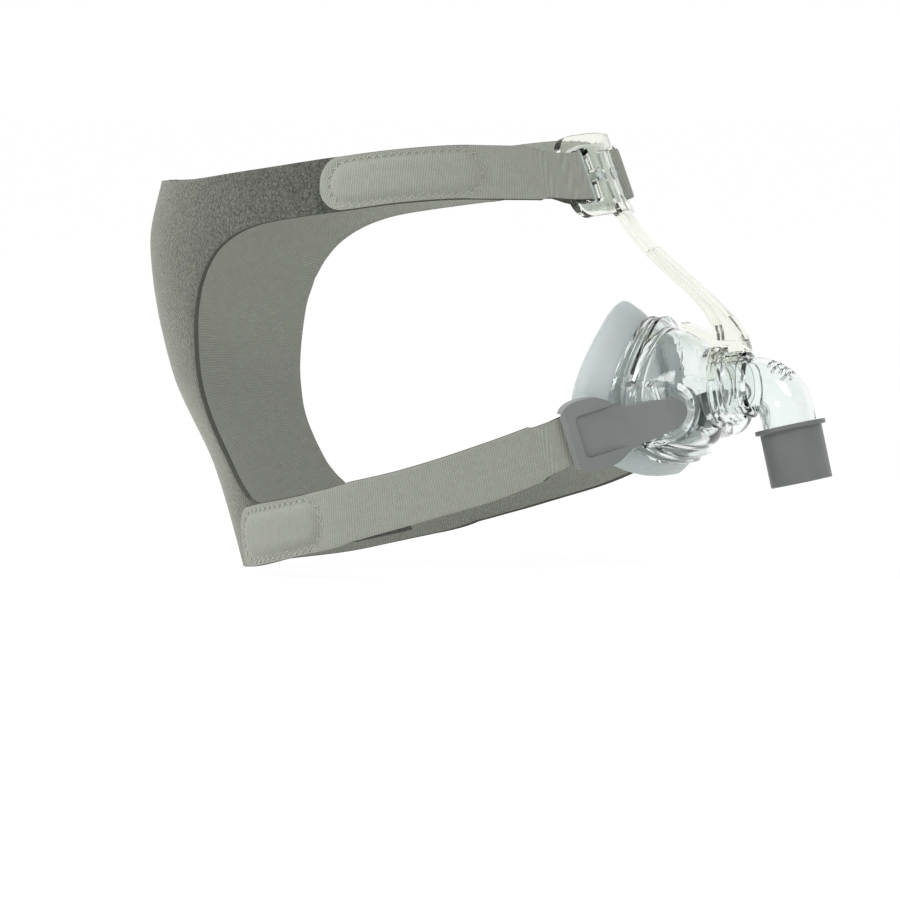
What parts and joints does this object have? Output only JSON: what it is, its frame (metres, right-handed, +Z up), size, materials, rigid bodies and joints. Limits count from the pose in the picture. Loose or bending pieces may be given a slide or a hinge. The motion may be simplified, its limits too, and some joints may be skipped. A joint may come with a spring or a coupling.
{
  "type": "cpap mask",
  "caption": "Nasal CPAP mask: clear shell on a silicone cushion, clear forehead arm, swivel elbow with hose cuff, and clip-on fabric headgear.",
  "frame": {"origin": "middle of the face seal: where the plane that holds the seal's middle meets the wearer's middle plane", "axes": "+X forwards away from the face, +Y to the wearer's left, +Z up"},
  "size_m": [0.2595, 0.147, 0.1585],
  "materials": {
    "clear_shell": "clear polycarbonate, polished",
    "clear_ring": "clear polycarbonate, polished",
    "clear_arm": "clear polycarbonate, polished",
    "clear_elbow": "clear polycarbonate, polished",
    "silicone": "translucent silicone, satin",
    "grey_cuff": "satin moulded plastic",
    "grey_clip": "satin moulded plastic",
    "strap_fabric": "brushed knit laminated on foam",
    "hook_tape": "hook tape"
  },
  "bodies": {
    "mask": {"mask_frame": "clear_shell", "cushion_ring": "clear_ring", "nasal_cushion": "silicone", "forehead_arm": "clear_arm", "forehead_pad": "silicone", "headgear": "strap_fabric", "right_top_tab": "hook_tape", "left_top_tab": "hook_tape", "right_lower_tab": "hook_tape", "left_lower_tab": "hook_tape"},
    "elbow": {"elbow": "clear_elbow"},
    "cuff": {"swivel_cuff": "grey_cuff"},
    "right_clip": {"right_clip": "grey_clip"},
    "left_clip": {"left_clip": "grey_clip"}
  },
  "joints": [
    {"name": "elbow_swivel", "type": "hinge", "parent": "mask", "child": "elbow", "pos_m": [0.026, 0, 0.0013], "axis": [0.9962, 0, 0.0872], "continuous": true},
    {"name": "cuff_swivel", "type": "hinge", "parent": "elbow", "child": "cuff", "pos_m": [0.0516, 0, 0.00354], "axis": [0.2181, 0, -0.9759], "continuous": true},
    {"name": "right_clip_swing", "type": "hinge", "parent": "mask", "child": "right_clip", "pos_m": [-0.0093, -0.0494, -0.0153], "axis": [0.2532, 0.1462, -0.9563], "range_deg": [0, 20]},
    {"name": "left_clip_swing", "type": "hinge", "parent": "mask", "child": "left_clip", "pos_m": [-0.0093, 0.0494, -0.0153], "axis": [-0.2532, 0.1462, 0.9563], "range_deg": [0, 20]}
  ]
}
